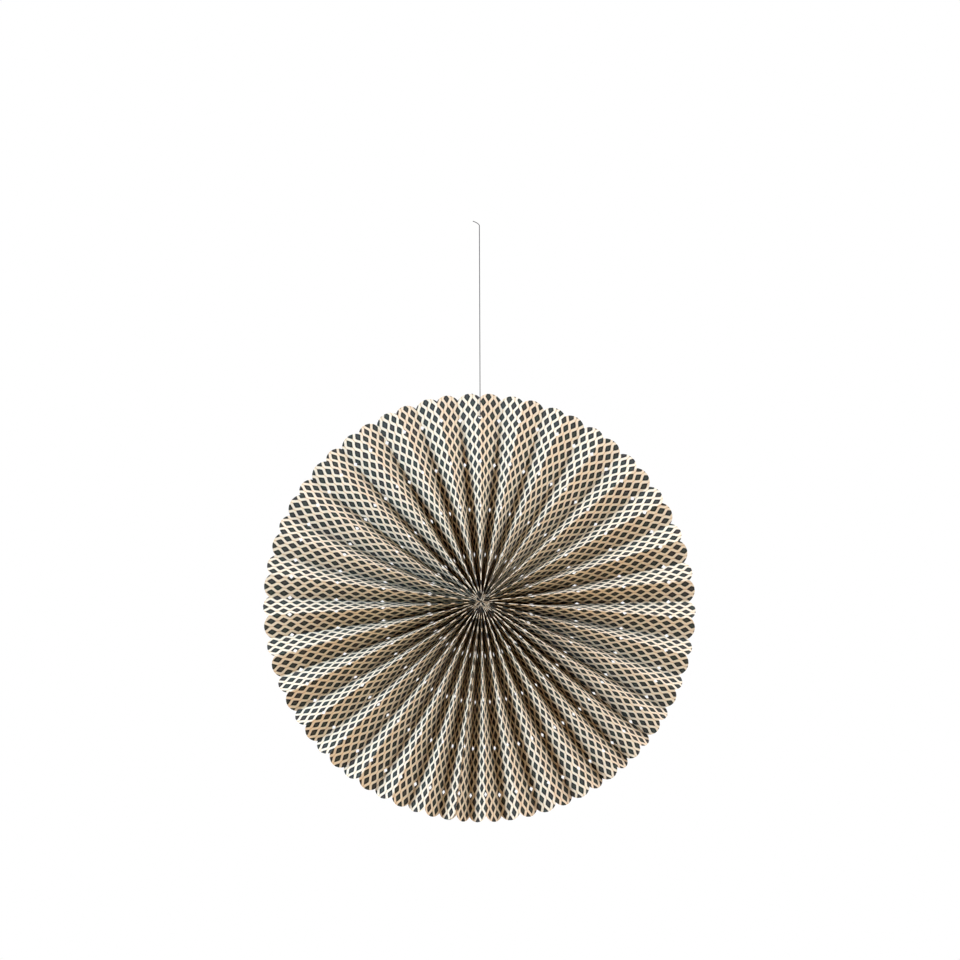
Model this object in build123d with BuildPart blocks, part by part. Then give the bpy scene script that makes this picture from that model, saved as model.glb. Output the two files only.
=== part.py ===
import os
from math import atan2, cos, pi, sin, sqrt

from build123d import *

# A round fan of pleated and printed paper, hung by a thread. All lengths are in millimetres.
# The front of the fan faces -Y, X runs to the right and Z up. The origin lies on the hub axis,
# half way through the depth of the pleats.

# Pleats
fan_radius = 200.0  # hub axis to the tops of the scallops
panel_width = 0.11 * fan_radius  # flat paper between two folds, wider than a pleat opens at the rim
panel_count = 68  # mountain and valley folds take turns, so the count is even
hub_radius = 2.7  # hub axis to the inner ends of the pleats
paper_thickness = 0.15
coarse_radius = 120.0  # panels twist most outside this radius, and have twice the facets there

# Hand-made spread of the folds, in radians that they stray from even places
crowding = 0.157  # pleats wide open at the top and closed up at the bottom
lean = 0.0255  # folds at the bottom lie further round
double_wave = -0.009  # slower and faster runs of pleats, two and three to the round
triple_wave = -0.007
gathering = 0.02  # folds drawn in on both sides of the bottom seam
gathering_step = 0.5

# Scalloped rim, one scallop on each panel
scallop_rise = 5.4  # from the folds up to the top of the scallop

# Diamonds punched through every fold
diamond_across = 4.8  # along the flat paper, square to the fold
diamond_along = 4.4  # along the fold
diamond_ring_inset = 24.5  # outermost ring of diamonds to the tops of the scallops
diamond_ring_pitch = 42.6
diamond_ring_count = 4

# Sheets, from seam to seam, counted anticlockwise from the mountain fold at the top
top_panel_count = 5  # from the top to the left seam
left_panel_count = 27
bottom_panel_count = 13
seam_gap = 0.02  # between the cut edges of two sheets

# Hanging thread
thread_diameter = 0.75
thread_clearance = 0.1  # from the paper that it bears on
hang_height = 365.5  # hub axis to the bend at the top of the thread
tail_reach = 6.2  # bent tail at the top, to the left
tail_lift = 2.4
tail_bend_radius = 1.2
hole_bend_radius = 0.75
knot_diameter = 2.6  # stopper knot behind the paper
knot_length = 2.0
knot_chamfer = 0.7


left_seam = top_panel_count
bottom_seam = left_seam + left_panel_count
right_seam = bottom_seam + bottom_panel_count
diamond_ring_radius = fan_radius - diamond_ring_inset


def fold_angle(fold):
    """Angle of a fold about the hub: wide apart at the top, crowded and less even at the bottom."""
    turn = 2 * pi * fold / panel_count
    stray = crowding * sin(turn) + lean * (1 - cos(turn))
    stray += double_wave * (1 - cos(2 * turn))
    stray += triple_wave * (1 + sin(3 * turn) - cos(3 * turn))
    slack = (1 - cos(turn)) / 2
    stray += gathering * slack**3 * sin(gathering_step * (bottom_seam - fold))
    return pi / 2 + turn + stray


def chord(fold, radius):
    """Straight distance from this fold to the next, seen from the front, as the mean of both sides."""
    spacing = (fold_angle(fold + 1) - fold_angle(fold - 1)) / 2
    return 2 * radius * sin(spacing / 2)


def pleat_height(fold, radius):
    """Distance of the fold from the middle plane, so that the panel keeps its flat width."""
    return sqrt(panel_width**2 - chord(fold, radius) ** 2) / 2


def cap_half_width(fold, radius):
    """Half the strip round the outside of a fold, where the two layers of paper stand apart."""
    return 2 * paper_thickness * pleat_height(fold, radius) / panel_width


def half_depth_of_paper(fold, radius):
    """Half the paper's thickness at a fold, measured from front to back."""
    return paper_thickness / 2 * (chord(fold, radius) - cap_half_width(fold, radius)) / panel_width


def fold_point(fold, side, radius, shift=0.0):
    """Point on one edge of a fold. Even folds are mountains, towards the front.

    Side 0 is the sharp inner crease. Sides -1 and 1 are the clockwise and the anticlockwise edge of
    the narrow cap round the outside. The shift moves the point anticlockwise.
    """
    angle = fold_angle(fold)
    facing = 1 if fold % 2 == 0 else -1
    outside = 1 if side else -1
    level = facing * (pleat_height(fold, radius) + outside * half_depth_of_paper(fold, radius))
    along = side * cap_half_width(fold, radius) + shift
    return Vector(
        radius * cos(angle) - along * sin(angle),
        -level,
        radius * sin(angle) + along * cos(angle),
    )


def stations():
    """Rows of points along a panel: their radius, and how far a diamond cuts in from the folds."""
    rows = [(hub_radius, 0)]

    def run_to(radius):
        start = rows[-1][0]
        if start > coarse_radius:
            rows.append(((start + radius) / 2, 0))
        rows.append((radius, 0))

    for ring in reversed(range(diamond_ring_count)):
        middle = diamond_ring_radius - ring * diamond_ring_pitch
        run_to(middle - diamond_along / 2)
        rows.append((middle, diamond_across / 2))
        rows.append((middle + diamond_along / 2, 0))
    run_to(fan_radius - scallop_rise)
    return rows


def flat_face(*corners):
    return Face(Wire.make_polygon(corners))


def facets(a, b, c, d):
    """Four corners in turn as two flat triangles, creased from the first to the third."""
    return [flat_face(a, b, c), flat_face(a, c, d)]


def panel_rows(mountain, valley, sides, cut_edges):
    """Ends of each row of points on one face of a panel: at the mountain fold, at the valley fold."""
    turn = valley - mountain
    high_shift = turn * seam_gap / 2 if mountain in cut_edges else 0
    low_shift = -turn * seam_gap / 2 if valley in cut_edges else 0
    rows = []
    for radius, cut in stations():
        high = fold_point(mountain, sides[0], radius, high_shift)
        low = fold_point(valley, sides[1], radius, low_shift)
        inward = (low - high).normalized() * cut
        rows.append((high + inward, low - inward))
    return rows


def scallop_arc(rows):
    """Arc over the end of a panel, in the plane of its last facet."""
    high, low = rows[-1]
    along = (low - high).normalized()
    fold_line = high - rows[-2][0]
    outward = fold_line - along * fold_line.dot(along)
    return Edge.make_three_point_arc(low, (high + low) * 0.5 + outward.normalized() * scallop_rise, high)


def panel_faces(mountain, valley, cut_edges):
    """Both faces of one panel, its ends, its diamonds' edges and the edges where the sheet is cut."""
    turn = valley - mountain
    front = panel_rows(mountain, valley, (turn, 0), cut_edges)
    back = panel_rows(mountain, valley, (0, -turn), cut_edges)
    faces = facets(*front[0], *reversed(back[0]))
    for rows in (front, back):
        for inner, outer in zip(rows[:-2], rows[1:-1]):
            faces += facets(*inner, *reversed(outer))
        (high, low), (rim_high, rim_low) = rows[-2:]
        faces.append(flat_face(high, low, rim_low))
        tip = [Edge.make_line(high, rim_low), scallop_arc(rows), Edge.make_line(rim_high, high)]
        faces.append(Face(Wire(tip)))
    faces.append(Face.make_surface_from_curves(scallop_arc(front), scallop_arc(back)))

    cuts = [cut for radius, cut in stations()]
    for end, fold in enumerate((mountain, valley)):
        for n in range(len(cuts) - 1):
            if fold in cut_edges or cuts[n] or cuts[n + 1]:
                faces += facets(front[n][end], back[n][end], back[n + 1][end], front[n + 1][end])
    return faces


def cap_faces(fold):
    """The strip round the outside of a fold, with its ends at the hub, the diamonds and the rim."""
    faces = []
    rows = stations()
    for n, (radius, cut) in enumerate(rows):
        if cut:
            continue
        corners = [fold_point(fold, side, radius) for side in (-1, 1, 0)]
        neighbours = rows[max(n - 1, 0) : n + 2]
        if n in (0, len(rows) - 1) or any(row[1] for row in neighbours):
            faces.append(flat_face(*corners))
        if n + 1 < len(rows) and not rows[n + 1][1]:
            outer = [fold_point(fold, side, rows[n + 1][0]) for side in (1, -1)]
            faces.append(flat_face(*corners[:2], *outer))
    return faces


def pleated_sheet(first, last):
    """Solid of one sheet of paper, folded and cut, from one fold to another."""
    faces = []
    for fold in range(first, last):
        mountain, valley = (fold, fold + 1) if fold % 2 == 0 else (fold + 1, fold)
        faces += panel_faces(mountain, valley, (first, last))
    for fold in range(first + 1, last):
        faces += cap_faces(fold)
    return Solid(Shell(faces))


os.makedirs("parts", exist_ok=True)

sheets = {
    "left_sheet": (left_seam, bottom_seam),
    "bottom_sheet": (bottom_seam, right_seam),
    "right_sheet": (right_seam, panel_count + left_seam),
}
for name, (first, last) in sheets.items():
    with BuildPart() as sheet:
        add(pleated_sheet(first, last))
    sheet.part.label = name
    export_step(sheet.part, f"parts/{name}.step")

# The thread goes through the top diamond, bears on its upper corner and is knotted behind the paper
corner_radius = diamond_ring_radius + diamond_along / 2
corner_chord = chord(0, corner_radius)
corner_half_angle = atan2(diamond_across * corner_chord / panel_width, diamond_along)
bearing = thread_diameter / 2 + thread_clearance
thread_y = fold_point(0, 1, corner_radius).Y - bearing
thread_z = corner_radius - bearing / sin(corner_half_angle)

# The knot stands in the hollow of the fold, with its chamfered end just clear of both panels
seat_radius = knot_diameter / 2 - knot_chamfer
panel_slope = 2 * pleat_height(0, corner_radius) / corner_chord
seat_y = fold_point(0, 0, corner_radius).Y + seat_radius * panel_slope + thread_clearance

with BuildPart() as thread_knot:
    with BuildSketch(Plane(origin=(0, seat_y, thread_z), z_dir=(0, 1, 0))):
        Circle(knot_diameter / 2)
    extrude(amount=knot_length)
    chamfer(thread_knot.edges().filter_by(GeomType.CIRCLE), knot_chamfer)
thread_knot.part.label = "thread_knot"
export_step(thread_knot.part, "parts/thread_knot.step")

thread_route = [
    (0, seat_y, thread_z),
    (0, thread_y, thread_z),
    (0, thread_y, hang_height),
    (-tail_reach, thread_y, hang_height + tail_lift),
]
with BuildPart() as hanging_thread:
    with BuildLine() as route:
        FilletPolyline(*thread_route, radius=[hole_bend_radius, tail_bend_radius])
    with BuildSketch(Plane(origin=route.line @ 0, z_dir=route.line % 0)):
        Circle(thread_diameter / 2)
    sweep()
hanging_thread.part.label = "hanging_thread"
export_step(hanging_thread.part, "parts/hanging_thread.step")

thread_length = sum(edge.length for edge in route.edges())
print("thread length", round(thread_length, 2), "bend radii", hole_bend_radius, tail_bend_radius)
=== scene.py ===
from math import cos, pi, radians, sin, sqrt

import bpy
from mathutils import Matrix, Vector


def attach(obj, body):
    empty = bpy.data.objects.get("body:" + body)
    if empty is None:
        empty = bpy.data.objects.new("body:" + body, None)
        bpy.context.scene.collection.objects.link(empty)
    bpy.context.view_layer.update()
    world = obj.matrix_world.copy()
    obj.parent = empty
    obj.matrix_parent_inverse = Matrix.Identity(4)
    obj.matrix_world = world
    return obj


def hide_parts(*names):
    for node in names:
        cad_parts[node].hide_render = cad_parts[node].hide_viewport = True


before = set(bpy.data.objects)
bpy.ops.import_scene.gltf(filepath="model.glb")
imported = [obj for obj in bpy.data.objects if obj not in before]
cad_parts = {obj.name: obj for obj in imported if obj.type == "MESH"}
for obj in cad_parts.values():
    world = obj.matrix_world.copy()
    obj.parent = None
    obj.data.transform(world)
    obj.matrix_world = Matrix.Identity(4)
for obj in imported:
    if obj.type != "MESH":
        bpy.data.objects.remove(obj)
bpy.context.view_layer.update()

# A round fan of pleated and printed paper, hung by a thread. The front of the fan faces -Y.
# Sizes are in millimetres, as in the part's source, and become metres where meshes are made.
MM = 0.001

# Pleats
fan_radius = 200.0  # hub axis to the tops of the scallops
panel_width = 22.0  # flat paper between two folds
panel_count = 68
hub_radius = 1.3  # hub axis to the inner ends of the pleats
paper_thickness = 0.15
fold_radius = 0.25  # paper turns round a fold and isn't sharp there
fold_share = 0.12  # most that a fold's turn takes of the gap between two folds

# Hand-made spread of the folds, in radians that they stray from even places
crowding = 0.157
lean = 0.0255
double_wave = -0.009
triple_wave = -0.007
gathering = 0.02
gathering_step = 0.5

# Scalloped rim, and diamonds punched through every fold
scallop_rise = 5.4
diamond_across = 4.8
diamond_along = 4.4
diamond_ring_radius = 175.5
diamond_ring_pitch = 42.6
diamond_ring_count = 4

# Seams between the three sheets, counted in folds anticlockwise from the top
left_seam = 5
bottom_seam = 32
right_seam = 45
seam_opening = 1.1  # the bottom seam is lapped and stands open, aside and in depth
seam_opening_share = 0.3  # most that it opens aside, as a share of the gap between two folds
seam_step = 2.5

# Hanging thread and its stopper knot
thread_diameter = 0.75
thread_y = -6.38  # up in front of the paper
thread_z = 177.0  # height of the diamond that it passes through
seat_y = -5.3  # behind the paper, where the knot begins
hang_height = 365.5  # hub axis to the bend at the top
tail_reach = 6.2  # bent tail, to the left and up
tail_lift = 2.4
straight_run = 6 * thread_diameter  # below the bend at the top
knot_diameter = 2.6
knot_length = 2.0
knot_winds = 3
points_per_wind = 8

# How finely the paper is drawn: rows along a panel, and columns by their distance from a fold
fold_columns = (0.0, 0.06, 0.2, 0.5, 1.2, 2.5, 4.5, 7.5)
row_step = 5.0
diamond_steps = 3
rim_rows = 6


def fold_angle(fold):
    """Angle of a fold about the hub: wide apart at the top, crowded and less even at the bottom."""
    turn = 2 * pi * fold / panel_count
    stray = crowding * sin(turn) + lean * (1 - cos(turn))
    stray += double_wave * (1 - cos(2 * turn))
    stray += triple_wave * (1 + sin(3 * turn) - cos(3 * turn))
    slack = (1 - cos(turn)) / 2
    stray += gathering * slack**3 * sin(gathering_step * (bottom_seam - fold))
    return pi / 2 + turn + stray


def chord(fold, radius):
    """Straight distance from this fold to the next, seen from the front, as the mean of both sides."""
    spacing = (fold_angle(fold + 1) - fold_angle(fold - 1)) / 2
    return 2 * radius * sin(spacing / 2)


def pleat_height(fold, radius):
    """Distance of the fold from the middle plane, so that the panel keeps its flat width."""
    return sqrt(panel_width**2 - chord(fold, radius) ** 2) / 2


def fold_point(fold, radius):
    """A point of the fold line. Even folds are mountains, towards the front."""
    angle = fold_angle(fold)
    facing = -1 if fold % 2 == 0 else 1
    return Vector((radius * cos(angle), facing * pleat_height(fold, radius), radius * sin(angle)))


def around(fold):
    """Direction from a fold to the next one, anticlockwise."""
    angle = fold_angle(fold)
    return Vector((-sin(angle), 0.0, cos(angle)))


def roundness(fold, radius, distance):
    """How far a panel stands out beside a fold, for the paper to turn round it."""
    gap = chord(fold, radius)
    bend = min(fold_radius, fold_share * gap)
    part = min(distance, bend)
    return max(0.0, sqrt(2 * bend * part - part**2) - distance * gap / panel_width)


def lap_offset(fold, radius):
    """How far a lapped sheet stands off its seam, aside and towards the back."""
    aside = min(seam_opening, seam_opening_share * chord(fold, radius))
    return around(fold) * aside + Vector((0, seam_step, 0))


def panel_rows():
    """Rows of points along a panel: their radius, and how far a diamond cuts in from the folds."""
    rows = [(hub_radius, 0.0)]

    def run_to(radius, cut=0.0, steps=0):
        start, start_cut = rows[-1]
        steps = steps or max(1, round((radius - start) / row_step))
        for step in range(1, steps + 1):
            part = step / steps
            rows.append((start + (radius - start) * part, start_cut + (cut - start_cut) * part))

    for ring in reversed(range(diamond_ring_count)):
        middle = diamond_ring_radius - ring * diamond_ring_pitch
        run_to(middle - diamond_along / 2)
        run_to(middle, diamond_across / 2, diamond_steps)
        run_to(middle + diamond_along / 2, 0.0, diamond_steps)
    return rows


def scallop_height(across):
    """Height of the scallop over the notches, at a share of the way across the panel."""
    half = panel_width / 2
    arc_radius = (half**2 + scallop_rise**2) / (2 * scallop_rise)
    return sqrt(arc_radius**2 - ((across - 0.5) * panel_width) ** 2) - arc_radius + scallop_rise


def pleated_sheet(name, first, last, print_shift, lapped):
    """One sheet of paper from its first fold to its last.

    Its map holds the flat sheet's own millimetres, across and along the pleats, moved by the
    print's shift. A lapped sheet begins with half a panel behind the sheet before it.
    """
    notch_radius = fan_radius - scallop_rise
    rows = panel_rows()
    inner_rows = len(rows)
    last_radius = rows[-1][0]
    near = [distance / panel_width for distance in fold_columns]
    columns = near + [0.5] + [1 - share for share in reversed(near)]
    points, flat, faces = [], [], []
    shared = {}

    def vertex(panel, column, row):
        across = columns[column]
        if row < inner_rows:
            radius, cut = rows[row]
        else:
            part = (row - inner_rows + 1) / rim_rows
            radius = last_radius + (notch_radius + scallop_height(across) - last_radius) * part
            cut = 0.0
        # Two panels share the points of their fold, apart from where a diamond parts them
        key = (panel, column, row)
        if not cut and across in (0, 1):
            key = (panel + across, row)
        if key not in shared:
            share = cut / panel_width + across * (1 - 2 * cut / panel_width)
            point = fold_point(panel, radius).lerp(fold_point(panel + 1, radius), share)
            point += around(panel) * roundness(panel, radius, share * panel_width)
            point -= around(panel + 1) * roundness(panel + 1, radius, (1 - share) * panel_width)
            if lapped and panel <= first:
                fading = 1 - share if panel == first else 1
                point += lap_offset(first, radius) * fading
            shared[key] = len(points)
            points.append(point * MM)
            flat.append(((panel + share) * panel_width + print_shift[0], radius + print_shift[1]))
        return shared[key]

    for panel in range(first - lapped, last):
        start = columns.index(0.5) if panel < first else 0
        for row in range(inner_rows + rim_rows - 1):
            for column in range(start, len(columns) - 1):
                corners = ((column, row), (column, row + 1), (column + 1, row + 1), (column + 1, row))
                faces.append([vertex(panel, *corner) for corner in corners])
    mesh = bpy.data.meshes.new(name)
    mesh.from_pydata(points, [], faces)
    layer = mesh.uv_layers.new(name="sheet")
    for loop in mesh.loops:
        layer.data[loop.index].uv = flat[loop.vertex_index]
    mesh.update()
    piece = bpy.data.objects.new(name, mesh)
    bpy.context.scene.collection.objects.link(piece)
    solid = piece.modifiers.new("thickness", "SOLIDIFY")
    solid.thickness = paper_thickness * MM
    solid.offset = 0.0
    # The back and the cut edges take the piece's second material
    solid.material_offset = 1
    solid.material_offset_rim = 1
    return piece


def linear(red, green, blue):
    """Colour of a finish, given as it looks on a screen, 0 to 255."""

    def channel(value):
        share = value / 255
        return share / 12.92 if share < 0.0405 else ((share + 0.055) / 1.055) ** 2.4

    return (channel(red), channel(green), channel(blue), 1.0)


class Nodes:
    """The nodes of a material or of the world, with short ways to add to them."""

    def __init__(self, owner):
        owner.use_nodes = True
        self.owner = owner
        self.tree = owner.node_tree
        self.tree.nodes.clear()

    def add(self, kind, inputs=None, **settings):
        made = self.tree.nodes.new("ShaderNode" + kind)
        for key, value in settings.items():
            setattr(made, key, value)
        for key, value in (inputs or {}).items():
            if isinstance(value, bpy.types.NodeSocket):
                self.tree.links.new(value, made.inputs[key])
            else:
                made.inputs[key].default_value = value
        return made

    def math(self, operation, *values):
        return self.add("Math", dict(enumerate(values)), operation=operation).outputs[0]

    def step(self, value, low, high, top=1.0, shape="SMOOTHSTEP"):
        """From 0 below the low value to the top above the high one."""
        inputs = {0: value, 1: low, 2: high, 3: 0.0, 4: top}
        return self.add("MapRange", inputs, interpolation_type=shape).outputs[0]

    def mix(self, share, first, second):
        return self.add("Mix", {0: share, 6: first, 7: second}, data_type="RGBA").outputs[2]

    def noise(self, place, scale, detail=2.0):
        return self.add("TexNoise", {"Vector": place, "Scale": scale, "Detail": detail}).outputs[0]

    def mix_shaders(self, share, first, second):
        return self.add("MixShader", {0: share, 1: first.outputs[0], 2: second.outputs[0]}).outputs[0]


# Print: staggered slate diamonds between wavy cream bands, in millimetres of the flat sheet
print_across = 10.63
print_along = 11.95
print_wander = 1.2  # how far the diamonds stray from an even grid
wander_scale = 0.09
ink_half_across = 3.0
ink_half_along = 4.4
ink_roundness = 1.12
ink_raggedness = 0.24  # uneven edge, as a share of a diamond's size
ragged_scale = 1.6
ink_limit = (0.9, 1.1)  # where it gives way to cream, in shares of a diamond's size
line_half_width = 0.45  # thin tan line along the pleats, from tip to tip of the diamonds
line_softness = 0.5
line_strength = 0.7

# Ink: paler in the middle of a diamond, with casts of colour from place to place
ink_middle = linear(70, 75, 66)
ink_edge = linear(25, 24, 19)
ink_darkening = (0.25, 0.75)  # from the middle to the edge
blue_cast = linear(41, 53, 54)
mauve_cast = linear(59, 48, 48)
green_cast = linear(44, 59, 47)
blot_scale = 0.11
blot_range = (0.35, 0.65)
green_scale = 0.083
green_range = (0.4, 0.6)
green_strength = 0.6
cast_strength = 0.45

# Paper: the cream of the print's bands, and the bare back
cream_pale = linear(232, 221, 193)
cream_deep = linear(225, 211, 179)
tan_line = linear(200, 167, 118)
back_pale = linear(236, 228, 209)
back_deep = linear(226, 214, 190)
back_ink_strength = 0.14  # how much of the print shows through to the back
fibre_scale = 0.8
fibre_range = (0.3, 0.7)
tooth_scale = 2.5
tooth_strength = 0.12
tooth_depth = 0.0001  # metres
paper_roughness = 0.7
paper_gloss = 0.18
light_through = 0.03
light_through_ink = linear(36, 24, 16)
light_through_cream = linear(255, 204, 132)


def printed_paper(name, ink_strength):
    """Paper with the print on it. An ink strength under 1 is the back, where the print shows through."""
    nodes = Nodes(bpy.data.materials.new(name))
    place = nodes.add("UVMap", uv_map="sheet").outputs[0]
    x, y, _ = nodes.add("SeparateXYZ", {0: place}).outputs[:3]
    wander = nodes.add("TexNoise", {"Vector": place, "Scale": wander_scale, "Detail": 1.0}).outputs["Color"]
    wander_x, wander_y, _ = nodes.add("SeparateXYZ", {0: wander}).outputs[:3]
    x = nodes.math("MULTIPLY_ADD", nodes.math("SUBTRACT", wander_x, 0.5), print_wander, x)
    y = nodes.math("MULTIPLY_ADD", nodes.math("SUBTRACT", wander_y, 0.5), print_wander, y)

    # Distances from the nearest diamond's middle, in each of the two staggered grids
    even_x = nodes.math("PINGPONG", x, print_across / 2)
    even_y = nodes.math("PINGPONG", y, print_along / 2)
    odd_x = nodes.math("SUBTRACT", print_across / 2, even_x)
    odd_y = nodes.math("SUBTRACT", print_along / 2, even_y)

    def diamond(across, along):
        part_x = nodes.math("POWER", nodes.math("DIVIDE", across, ink_half_across), ink_roundness)
        part_y = nodes.math("POWER", nodes.math("DIVIDE", along, ink_half_along), ink_roundness)
        return nodes.math("ADD", part_x, part_y)

    distance = nodes.math("MINIMUM", diamond(even_x, even_y), diamond(odd_x, odd_y))
    distance = nodes.math("SUBTRACT", distance, ink_raggedness / 2)
    ragged = nodes.noise(place, ragged_scale, detail=3.0)
    edge = nodes.math("MULTIPLY_ADD", ragged, ink_raggedness, distance)
    cream_share = nodes.step(edge, *ink_limit)

    ink = nodes.mix(nodes.step(edge, *ink_darkening), ink_middle, ink_edge)
    blot = nodes.step(nodes.noise(place, blot_scale, detail=1.0), *blot_range)
    green = nodes.step(nodes.noise(place, green_scale, detail=1.0), *green_range)
    cast = nodes.mix(blot, blue_cast, mauve_cast)
    cast = nodes.mix(nodes.math("MULTIPLY", green, green_strength), cast, green_cast)
    ink = nodes.mix(cast_strength, ink, cast)

    fibre = nodes.noise(place, fibre_scale, detail=4.0)
    cream = nodes.mix(nodes.step(fibre, *fibre_range), cream_pale, cream_deep)
    from_line = nodes.math("MINIMUM", even_x, odd_x)
    inside = line_half_width * (1 - line_softness)
    outside = line_half_width * (1 + line_softness)
    off_line = nodes.step(from_line, inside, outside)
    line = nodes.math("MULTIPLY", nodes.math("SUBTRACT", 1.0, off_line), line_strength)
    cream = nodes.mix(line, cream, tan_line)

    colour = nodes.mix(cream_share, ink, cream)
    if ink_strength < 1:
        colour = nodes.mix(ink_strength, nodes.mix(fibre, back_pale, back_deep), colour)

    height = nodes.noise(place, tooth_scale, detail=4.0)
    inputs = {"Height": height, "Strength": tooth_strength, "Distance": tooth_depth}
    tooth = nodes.add("Bump", inputs).outputs[0]
    inputs = {"Base Color": colour, "Roughness": paper_roughness, "Normal": tooth}
    front = nodes.add("BsdfPrincipled", inputs)
    front.inputs["Specular IOR Level"].default_value = paper_gloss
    through = nodes.mix(cream_share, light_through_ink, light_through_cream)
    shine = nodes.add("BsdfTranslucent", {"Color": through, "Normal": tooth})
    nodes.add("OutputMaterial", {"Surface": nodes.mix_shaders(light_through, front, shine)})
    return nodes.owner


# Thread: dark cotton, with paler bands along its twist that are painted highlight
thread_dark = linear(20, 19, 19)
# The paler colour is painted highlight on the turns of the twist
thread_twist_highlight = linear(44, 43, 42)
twist_scale = 900.0
twist_unevenness = 2.0
thread_roughness = 0.7


def spun_thread(name):
    """Dark cotton, with painted highlight in paler bands on the turns of its twist."""
    nodes = Nodes(bpy.data.materials.new(name))
    place = nodes.add("TexCoord").outputs["Object"]
    inputs = {"Vector": place, "Scale": twist_scale, "Distortion": twist_unevenness}
    twist_highlight = nodes.add("TexWave", inputs, bands_direction="DIAGONAL").outputs[1]
    # Paler bands on the twist's turns: painted highlight on the dark cotton
    colour = nodes.mix(twist_highlight, thread_dark, thread_twist_highlight)
    skin = nodes.add("BsdfPrincipled", {"Base Color": colour, "Roughness": thread_roughness})
    nodes.add("OutputMaterial", {"Surface": skin.outputs[0]})
    return nodes.owner


# Paper sheets: first and last fold, and where the print falls on the sheet
printed = printed_paper("printed paper", 1.0)
plain = printed_paper("back of the paper", back_ink_strength)
sheets = {
    "left_sheet": (left_seam, bottom_seam, (-6.85, -1.9)),
    "bottom_sheet": (bottom_seam, right_seam, (-3.8, 3.7)),
    "right_sheet": (right_seam, panel_count + left_seam, (-4.4, 0.25)),
}
for node, (first, last, print_shift) in sheets.items():
    piece = pleated_sheet("paper_" + node, first, last, print_shift, node == "bottom_sheet")
    piece.data.materials.append(printed)
    piece.data.materials.append(plain)
    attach(piece, "root")
    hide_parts(node)


def round_curve(name, route, material):
    """A length of thread, smooth, with the route's points as its control points."""
    data = bpy.data.curves.new(name, "CURVE")
    data.dimensions = "3D"
    data.bevel_depth = thread_diameter / 2 * MM
    data.bevel_resolution = 3
    data.resolution_u = 12
    data.use_fill_caps = True
    line = data.splines.new("NURBS")
    line.points.add(len(route) - 1)
    for point, place in zip(line.points, route):
        point.co = (place[0] * MM, place[1] * MM, place[2] * MM, 1)
    line.order_u = 3
    line.use_endpoint_u = True
    piece = bpy.data.objects.new(name, data)
    bpy.context.scene.collection.objects.link(piece)
    data.materials.append(material)
    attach(piece, "root")
    return piece


# Thread, through the top diamond and up to its bent tail
thread_finish = spun_thread("spun thread")
thread_route = [
    (0, seat_y, thread_z),
    (0, thread_y, thread_z),
    (0, thread_y, thread_z + seat_y - thread_y),
    (0, thread_y, hang_height - straight_run),
    (0, thread_y, hang_height),
    (-tail_reach, thread_y, hang_height + tail_lift),
]
thread = round_curve("thread", thread_route, thread_finish)
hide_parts("hanging_thread")

# Stopper knot: the thread's own end, wound behind the paper
wind_radius = (knot_diameter - thread_diameter) / 2
wind_points = knot_winds * points_per_wind
knot_route = []
for step in range(wind_points + 1):
    angle = 2 * pi * step / points_per_wind
    depth = seat_y + thread_diameter / 2 + (knot_length - thread_diameter) * step / wind_points
    knot_route.append((wind_radius * cos(angle), depth, thread_z + wind_radius * sin(angle)))
knot = round_curve("stopper_knot", knot_route, thread_finish)
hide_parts("thread_knot")

# Floor, lamps and background, in metres and watts
floor_height = -1.2
floor_half = 3.0
floor_pale = linear(250, 232, 203)
floor_deep = linear(246, 227, 197)
floor_grain = 3.0
floor_roughness = 0.9
floor_whiteness = 0.75  # how far the camera sees it as white
white = (1, 1, 1, 1)


def pale_floor(name):
    """A square of pale floor, nearly white to the camera."""
    mesh = bpy.data.meshes.new(name)
    sides = ((-1, -1), (1, -1), (1, 1), (-1, 1))
    corners = [(x * floor_half, y * floor_half, floor_height) for x, y in sides]
    mesh.from_pydata(corners, [], [(0, 1, 2, 3)])
    nodes = Nodes(bpy.data.materials.new(name))
    grain = nodes.noise(nodes.add("TexCoord").outputs["Object"], floor_grain)
    colour = nodes.mix(grain, floor_pale, floor_deep)
    ground = nodes.add("BsdfPrincipled", {"Base Color": colour, "Roughness": floor_roughness})
    glow = nodes.add("Emission", {"Color": white, "Strength": 1.0})
    seen = nodes.math("MULTIPLY", nodes.add("LightPath").outputs["Is Camera Ray"], floor_whiteness)
    nodes.add("OutputMaterial", {"Surface": nodes.mix_shaders(seen, ground, glow)})
    mesh.materials.append(nodes.owner)
    made = bpy.data.objects.new(name, mesh)
    bpy.context.scene.collection.objects.link(made)
    return made


def lamp(name, place, size, power, colour):
    """A round soft lamp that points at the hub."""
    data = bpy.data.lights.new(name, "AREA")
    data.shape = "DISK"
    data.size = size
    data.energy = power
    data.color = colour
    made = bpy.data.objects.new(name, data)
    made.location = place
    made.rotation_euler = Vector(place).to_track_quat("Z", "Y").to_euler()
    bpy.context.scene.collection.objects.link(made)
    return made


floor = pale_floor("floor")
key = lamp("key lamp", place=(-1.82, -1.04, 0.55), size=0.8, power=63.0, colour=(0.66, 0.885, 1.22))
side = lamp("side lamp", place=(1.0, -0.8, 0.9), size=0.9, power=24.0, colour=(0.9, 0.97, 1.14))
back = lamp("back lamp", place=(0.6, 2.0, -0.2), size=1.6, power=14.0, colour=(1.0, 0.97, 0.94))

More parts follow.
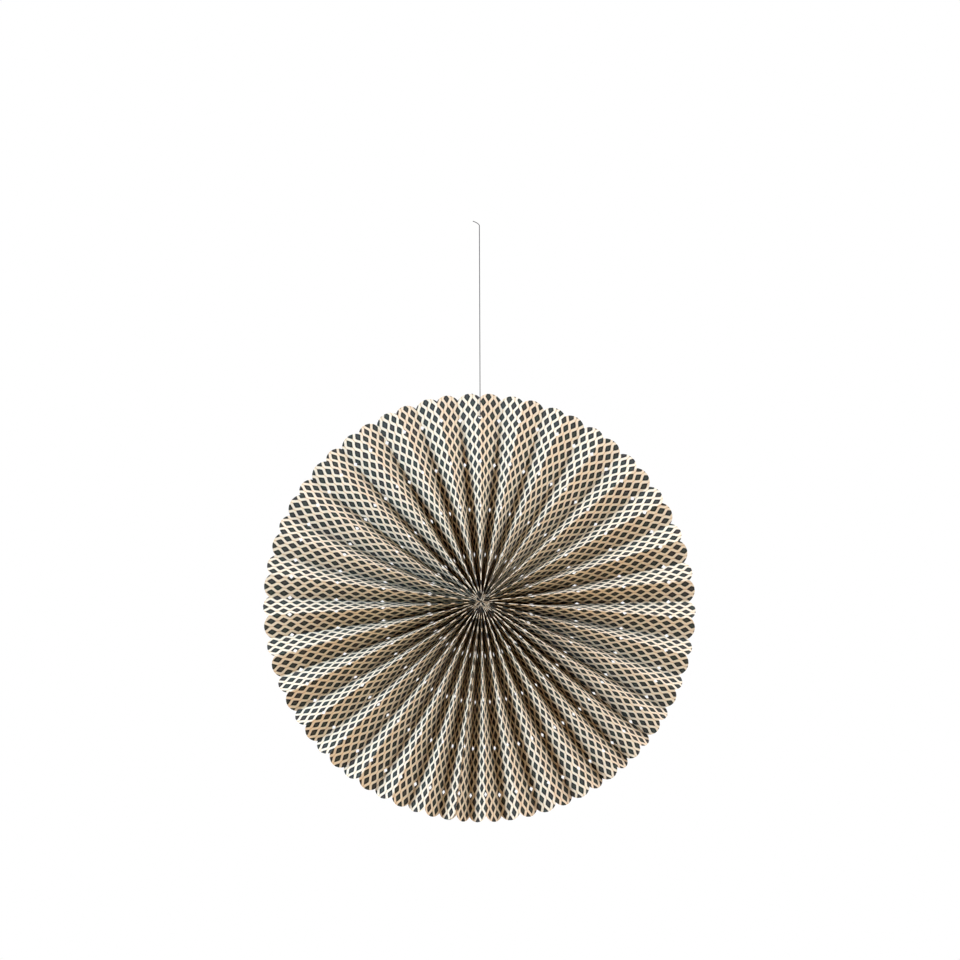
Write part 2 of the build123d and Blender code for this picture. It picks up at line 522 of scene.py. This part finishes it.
# Fill light from the world: none from the front, warm from the sides and neutral from behind.
# The ranges are of Y in the direction that the light comes from.
fill_strength = 0.94
fill_range = (-0.9, -0.1)
side_fill = (1.0, 0.42, 0.16, 1)
back_fill = (0.74, 0.71, 0.66, 1)
back_fill_range = (-0.1, 0.3)


def studio_world(name):
    """Soft fill light, with a white background for the camera."""
    nodes = Nodes(bpy.data.worlds.new(name))
    way = nodes.add("SeparateXYZ", {0: nodes.add("TexCoord").outputs["Generated"]}).outputs["Y"]
    strength = nodes.step(way, *fill_range, top=fill_strength)
    colour = nodes.mix(nodes.step(way, *back_fill_range, shape="LINEAR"), side_fill, back_fill)
    fill = nodes.add("Background", {"Color": colour, "Strength": strength})
    seen = nodes.add("Background", {"Color": white, "Strength": 1.0})
    to_camera = nodes.add("LightPath").outputs["Is Camera Ray"]
    nodes.add("OutputWorld", {"Surface": nodes.mix_shaders(to_camera, fill, seen)})
    return nodes.owner


bpy.context.scene.world = studio_world("studio")
bpy.context.scene.view_settings.view_transform = "Standard"

# Camera, a little below and to the left of the hub axis, and looking above the hub
camera_azimuth = radians(3.20)
camera_elevation = radians(-8.94)
camera_distance = 2.0
camera_yaw = radians(3.20)
camera_pitch = radians(12.20)
camera_roll = radians(-0.22)
camera_lens = 81.19
camera_sensor = 36.0


def towards(turned, raised):
    """Direction turned to the right of +Y, and raised above the level."""
    return Vector((sin(turned) * cos(raised), cos(turned) * cos(raised), sin(raised)))


def photo_camera(name):
    """The camera at its place, turned by yaw, pitch and roll."""
    data = bpy.data.cameras.new(name)
    data.lens = camera_lens
    data.sensor_width = camera_sensor
    place = -towards(camera_azimuth, -camera_elevation) * camera_distance
    ahead = towards(camera_yaw, camera_pitch)
    level = Vector((cos(camera_yaw), -sin(camera_yaw), 0))
    right = level * cos(camera_roll) + level.cross(ahead) * sin(camera_roll)
    turn = Matrix((right, right.cross(ahead), -ahead)).transposed().to_4x4()
    made = bpy.data.objects.new(name, data)
    made.matrix_world = Matrix.Translation(place) @ turn
    bpy.context.scene.collection.objects.link(made)
    return made


bpy.context.scene.camera = photo_camera("camera")
